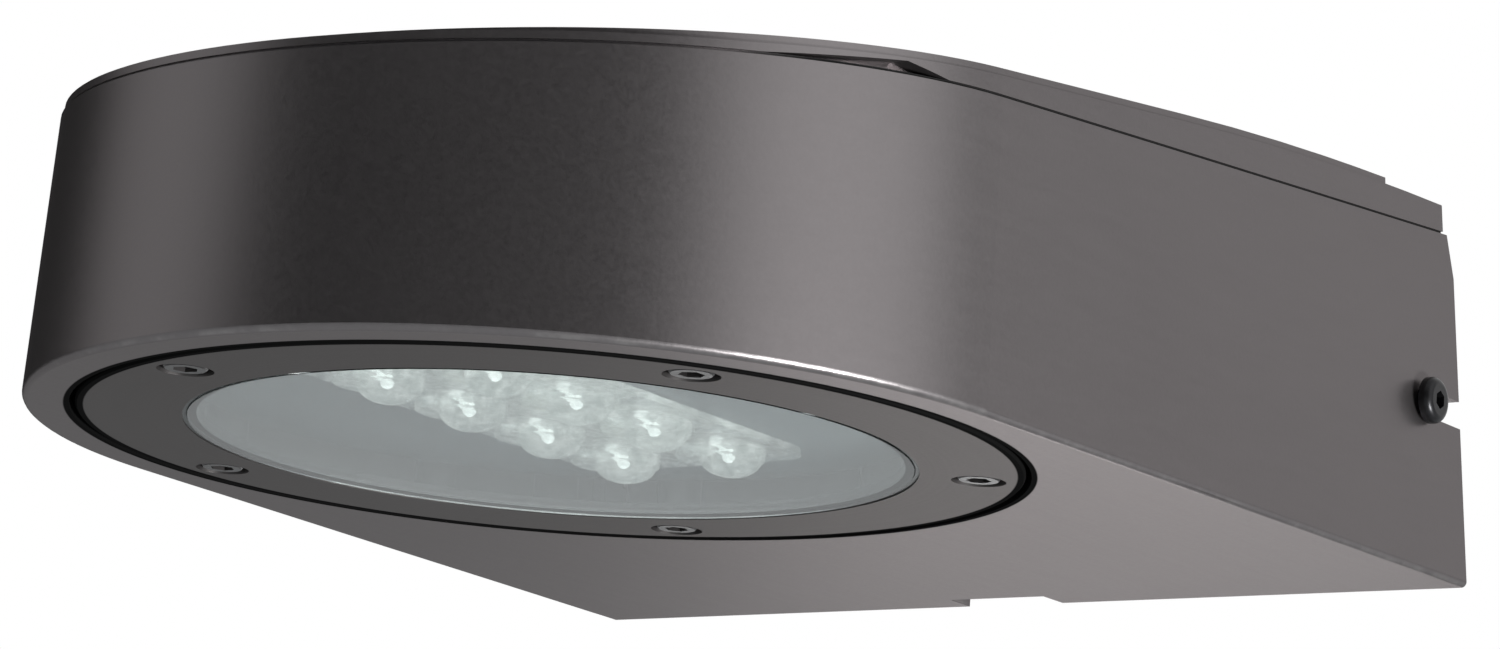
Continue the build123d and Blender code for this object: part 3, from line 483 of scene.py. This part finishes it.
def clear(name, colour, transmission, roughness, ior, glow):
    # The glow is painted light in the milky pieces, in place of light that the glass keeps from
    # reaching them, and its mottled colour is painted glints. Such pieces ripple.
    constants = {"Transmission Weight": transmission, "IOR": ior, "Emission Strength": glow}
    pane = Finish(name, constants)
    dust = pane.ramp(pane.noise(dustLook["scale"], detail=5.0, roughness=0.7), *dustLook["edges"])
    specks = pane.noise(dustLook["speckScale"], detail=2.0)
    dusty = tuple(channel * dustLook["darkening"] for channel in colour[:3]) + (1,)
    pane.feed("Base Color", pane.blend(dust, colour, dusty))
    dull = dust * dustLook["dulling"] + specks * roughness * dustLook["speckShare"]
    pane.feed("Roughness", dull + roughness)
    if glow:
        ripple = pane.noise(rippleAndPaintedGlintLook["scale"], detail=4.0, roughness=0.7)
        # Painted glints: a mottled glow colour.
        paintedGlints = pane.ramp(ripple, *rippleAndPaintedGlintLook["edges"])
        pane.feed("Emission Color", pane.blend(paintedGlints, rippleAndPaintedGlintLook["dim"], rippleAndPaintedGlintLook["bright"]))
        pane.bump(ripple, strength=0.45, distance=rippleAndPaintedGlintLook["height"])
    return pane


clearFinish = {name: clear(name, *look) for name, look in clearLook.items()}
print("clear pieces dressed")

# Points closer than this become one: those of a ring that closes in a pole.
mergeDistance = 0.000002


def gridMesh(name, points, finish, smooth=True):
    # points[k, i, j] is point j of ring i of copy k. Quads join (i, j), (i, j+1), (i+1, j+1) and
    # (i+1, j), and the first j follows the last.
    copies, rows, columns = points.shape[:3]
    k = np.arange(copies)[:, None, None]
    i = np.arange(rows - 1)[None, :, None]
    j = np.arange(columns)[None, None, :]
    following = (j + 1) % columns
    start = k * rows * columns + i * columns
    corners = (start + j, start + following, start + columns + following, start + columns + j)
    quads = np.stack(corners, axis=-1).reshape(-1, 4)
    mesh = bpy.data.meshes.new(name)
    mesh.from_pydata(points.reshape(-1, 3).tolist(), [], quads.tolist())
    mesh.update()
    mesh.polygons.foreach_set("use_smooth", np.full(len(quads), smooth))
    mesh.materials.append(finish.material)
    piece = bpy.data.objects.new(name, mesh)
    bpy.context.scene.collection.objects.link(piece)
    weld = piece.modifiers.new("weld", "WELD")
    weld.merge_threshold = mergeDistance
    return piece


# Every optic is a clear dome that stands out of a round foot, a little off its middle.
opticLook = {
    "pitch": 0.030,
    "columns": 2,
    "rows": 4,
    "around": 64,
    "radius": 0.0072,
    "dome": 0.0040,
    "offset": (0.0019, 0.00145),
    "depth": 0.0036,
    "steps": 15,
}


def opticCentres(look):
    x = (np.arange(look["columns"]) - (look["columns"] - 1) / 2) * look["pitch"] + lensX
    y = (np.arange(look["rows"]) - (look["rows"] - 1) / 2) * look["pitch"] + lensY
    return np.array([(a, b) for a in x for b in y])


def opticProfile(look):
    # (radius, height) from the dome's tip out to its foot, R*sin(t) and -D*cos(t), then up and in.
    t = np.linspace(0, math.pi / 2, look["steps"])
    dome = np.stack([look["radius"] * np.sin(t), -look["dome"] * np.cos(t)], axis=1)
    back = [(look["radius"], look["depth"]), (0, look["depth"])]
    return np.concatenate([dome, back])


def turnedCopies(profile, centres, base, around):
    # x = cx + r*cos(a), y = cy + r*sin(a), z = base + h, for every copy at once.
    a = np.linspace(0, 2 * math.pi, around, endpoint=False)
    radius, height = profile[:, 0][None, :, None], profile[:, 1][None, :, None]
    x = centres[:, 0][:, None, None] + radius * np.cos(a)
    y = centres[:, 1][:, None, None] + radius * np.sin(a)
    z = np.broadcast_to(base + height, x.shape)
    return np.stack([x, y, z], axis=-1)


def makeOptics(look):
    centres = opticCentres(look) + np.array(look["offset"])
    points = turnedCopies(opticProfile(look), centres, opticBase, look["around"])
    optics = gridMesh("clearOptics", points, clearFinish["opticClear"])
    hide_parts("led_lenses")
    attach(optics, "light_body")


makeOptics(opticLook)
print("optics made")

# The round foot of every optic, with a soft lip, and the clear plate that joins all eight.
footLook = {"radius": 0.0105, "lip": 0.0004, "lipSteps": 7, "depth": 0.0037, "around": 72}
plateLook = {"half": (0.0315, 0.0600), "corner": 0.009, "low": 0.0023, "high": 0.0038, "turns": 12}


def makeFeet(look):
    # Profile: over the face, a quarter circle round its edge, up the wall and in over the back.
    a = np.linspace(0, math.pi / 2, look["lipSteps"])
    radius, lip, depth = look["radius"], look["lip"], look["depth"]
    edge = np.stack([radius - lip + lip * np.sin(a), lip - lip * np.cos(a)], axis=1)
    profile = np.concatenate([[(0, 0)], edge, [(radius, depth), (0, depth)]])
    points = turnedCopies(profile, opticCentres(opticLook), opticBase, look["around"])
    feet = gridMesh("opticFeet", points, clearFinish["cupClear"])
    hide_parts("lens_holders")
    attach(feet, "light_body")


def makePlate(look):
    # Rounded rectangle: corner centre + C*(cos a, sin a), a quarter turn at each corner, carried
    # from the middle of the low face out, up the edge and back to the middle of the high face.
    quarter = np.linspace(0, math.pi / 2, look["turns"])
    signs = np.array([(1, 1), (-1, 1), (-1, -1), (1, -1)])
    starts = np.arange(4) * math.pi / 2
    a = (starts[:, None] + quarter[None, :]).ravel()
    corners = np.repeat(signs * (np.array(look["half"]) - look["corner"]), look["turns"], axis=0)
    outline = corners + look["corner"] * np.stack([np.cos(a), np.sin(a)], axis=1)
    middle = np.zeros_like(outline)
    heights = (look["low"], look["low"], look["high"], look["high"])
    rings = [
        np.column_stack([ring + (lensX, lensY), np.full(len(ring), opticBase + height)])
        for ring, height in zip((middle, outline, outline, middle), heights)
    ]
    plate = gridMesh("opticPlate", np.array(rings)[None], clearFinish["cupClear"], smooth=False)
    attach(plate, "light_body")


makeFeet(footLook)
makePlate(plateLook)
print("optic feet and plate made")

# The glass is the CAD's disc in more segments, with a little play inside its seal.
glassLook = {"edge": 0.0001, "play": 0.0002, "around": 384}


def makeGlass(look):
    # Both edges are cut at 45 degrees: (0, 0), (R-e, 0), (R, e), (R, H-e), (R-e, H), (0, H).
    edge = look["edge"]
    radius = (glassHigh.x - glassLow.x) / 2 - look["play"]
    high = glassHigh.z - glassLow.z
    low = [(0, 0), (radius - edge, 0), (radius, edge)]
    profile = np.array(low + [(radius, high - edge), (radius - edge, high), (0, high)])
    points = turnedCopies(profile, np.array([(lensX, lensY)]), underside, look["around"])
    glass = gridMesh("frontGlass", points, clearFinish["clearGlass"], smooth=False)
    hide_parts("lens_glass")
    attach(glass, "lens_door")


makeGlass(glassLook)
print("glass made")

# A painted highlight in every optic: a bright white column that glows, with two round ends and a
# slim waist, set aslant. The radii are those of the low ball, the waist and the high ball.
paintedHighlightLook = {
    "low": (0.00155, 0.00118, 0.0010),
    "high": (-0.00155, -0.00118, 0.0046),
    "radii": (0.00145, 0.00062, 0.00105),
    "around": 20,
    "rows": 40,
    "white": (0.93, 0.96, 0.94, 1),
    "bright": (0.99, 1.0, 0.99, 1),
    "roughness": 0.2,
    "pits": 1500.0,
    "pitHeight": 0.00001,
    "glow": 1.3,
}


def paintedHighlightFinish(look):
    # A painted highlight: white that glows under any lamp.
    light = {"Emission Strength": look["glow"], "Emission Color": look["white"]}
    surface = (look["roughness"], look["pits"], look["pitHeight"])
    return moulded("paintedHighlightWhite", look["white"], look["bright"], *surface, **light)


def makePaintedHighlights(look):
    # Ring i lies round low + s*along, with s in metres from the low ball's tip to the high one's.
    # The rings are closest at the tips. A ring's radius is the largest of the two balls'
    # sqrt(R^2 - distance^2) and the waist. Point j is radius*(cos(a)*side + sin(a)*third) further.
    low, high = np.array(look["low"]), np.array(look["high"])
    length = np.linalg.norm(high - low)
    along = (high - low) / length
    side = np.cross(along, (0, 0, 1.0))
    side /= np.linalg.norm(side)
    third = np.cross(along, side)
    big, waist, small = look["radii"]
    turn = np.linspace(0, math.pi, look["rows"])
    s = (length + small + big) * (1 - np.cos(turn)) / 2 - big
    ball = np.sqrt(np.maximum(big**2 - s**2, 0))
    cap = np.sqrt(np.maximum(small**2 - (s - length) ** 2, 0))
    neck = np.where((s > 0) & (s < length), waist, 0)
    radius = np.maximum(np.maximum(ball, cap), neck)[:, None, None]
    a = np.linspace(0, 2 * math.pi, look["around"], endpoint=False)[None, :, None]
    shape = low + s[:, None, None] * along + radius * (np.cos(a) * side + np.sin(a) * third)
    centres = opticCentres(opticLook)
    base = np.column_stack([centres, np.full(len(centres), opticBase)])
    points = base[:, None, None, :] + shape[None]
    columns = gridMesh("opticPaintedHighlights", points, paintedHighlightFinish(look))
    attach(columns, "light_body")


makePaintedHighlights(paintedHighlightLook)
print("optic columns made")

cameraLook = {
    "azimuth": 37.2989,
    "elevation": -10.8804,
    "roll": 4.6727,
    "distance": 1.16017,
    "focalPixels": 5126.44,
    "targetPixel": (551.2352, 448.6792),
    "picture": (1500, 649),
    "sensor": 36.0,
}


def aim(azimuth, elevation):
    # Points away from the part: azimuth 0 is the nose's side and 90 is +X, in degrees.
    a, e = math.radians(azimuth), math.radians(elevation)
    return Vector((math.sin(a) * math.cos(e), -math.cos(a) * math.cos(e), math.sin(e)))


def makeCamera(look, target):
    # The camera turns round the target by azimuth and elevation and rolls. Then it swings
    # until the target's image stands on its own pixel instead of on the picture's centre.
    back = aim(look["azimuth"], look["elevation"])
    roll = math.radians(look["roll"])
    right = (-back).cross(Vector((0, 0, 1))).normalized()
    up = right.cross(-back)
    rolledRight = math.cos(roll) * right + math.sin(roll) * up
    rolledUp = math.cos(roll) * up - math.sin(roll) * right
    width, height = look["picture"]
    offset = Vector((
        (look["targetPixel"][0] - width / 2) / look["focalPixels"],
        (height / 2 - look["targetPixel"][1]) / look["focalPixels"],
        -1,
    ))
    swing = Vector((0, 0, -1)).rotation_difference(offset).to_matrix()
    axes = Matrix((rolledRight, rolledUp, back)).transposed() @ swing.transposed()
    data = bpy.data.cameras.new("camera")
    data.sensor_width = look["sensor"]
    data.lens = look["focalPixels"] * look["sensor"] / width
    camera = bpy.data.objects.new("camera", data)
    bpy.context.scene.collection.objects.link(camera)
    camera.matrix_world = Matrix.Translation(target + back * look["distance"]) @ axes.to_4x4()
    bpy.context.scene.camera = camera


makeCamera(cameraLook, Vector((lensX, lensY, underside)))
print("camera placed")

# The studio: a pale floor, a dim surround with soft bright parts, and two low soft boxes.
# A bright part is (azimuth, elevation, full within, gone beyond, brightness), in degrees. A soft
# box is (name, (azimuth, elevation), distance, size, power).
studioLook = {
    "floorDrop": 6.0,
    "floorSize": 400.0,
    "floorColour": (0.80, 0.835, 0.85, 1),
    "backdrop": (1.0, 1.0, 1.0, 1),
    "dim": 0.02,
    "parts": [
        (-62, 20, 8, 31, 0.78),
        (98, 20, 9, 42, 1.33),
        (174, 18, 10, 41, 1.09),
        (0, 90, 38, 62, 0.81),
    ],
    "boxes": [
        ("lowBox", (91, -24), 1.5, (0.45, 0.25), 31.0),
        ("rearBox", (-156, -24), 1.5, (0.45, 0.2), 1.8),
    ],
}


def softBox(name, angles, distance, size, power):
    # A rectangle that shines at the light, placed by two angles and a distance.
    back = aim(*angles)
    data = bpy.data.lights.new(name, "AREA")
    data.shape = "RECTANGLE"
    data.size, data.size_y = size
    data.energy = power
    light = bpy.data.objects.new(name, data)
    bpy.context.scene.collection.objects.link(light)
    light.location = Vector((lensX, lensY, 0)) + back * distance
    light.rotation_mode = "QUATERNION"
    light.rotation_quaternion = (-back).to_track_quat("-Z", "Y")
    light.visible_camera = False


def makeSurround(look):
    world = bpy.data.worlds.new("studio")
    bpy.context.scene.world = world
    world.use_nodes = True
    sky = Graph(world.node_tree)
    direction = sky.node("ShaderNodeTexCoord", output="Generated")
    brightness = look["dim"]
    for azimuth, elevation, full, gone, amount in look["parts"]:
        values = {0: direction, 1: tuple(aim(azimuth, elevation))}
        nearness = sky.node("ShaderNodeVectorMath", {"operation": "DOT_PRODUCT"}, values, "Value")
        part = sky.ramp(nearness, math.cos(math.radians(gone)), math.cos(math.radians(full)))
        brightness = brightness + part * amount
    glow = sky.node("ShaderNodeBackground", None, {"Strength": brightness})
    backdrop = sky.node("ShaderNodeBackground", None, {"Color": look["backdrop"]})
    seen = sky.node("ShaderNodeLightPath", output="Is Camera Ray")
    both = sky.node("ShaderNodeMixShader", None, [seen, glow, backdrop])
    sky.node("ShaderNodeOutputWorld", None, [both], None)


def makeStudio(look):
    half = look["floorSize"] / 2
    corners = [(-half, -half), (half, -half), (half, half), (-half, half)]
    mesh = bpy.data.meshes.new("studioFloor")
    mesh.from_pydata([(x, y, -look["floorDrop"]) for x, y in corners], [], [(0, 1, 2, 3)])
    floor = bpy.data.objects.new("studioFloor", mesh)
    bpy.context.scene.collection.objects.link(floor)
    finish = Finish("studioFloor", {"Base Color": look["floorColour"], "Roughness": 0.9})
    mesh.materials.append(finish.material)
    makeSurround(look)
    for box in look["boxes"]:
        softBox(*box)
    bpy.context.scene.view_settings.view_transform = "Standard"


makeStudio(studioLook)
print("studio made")
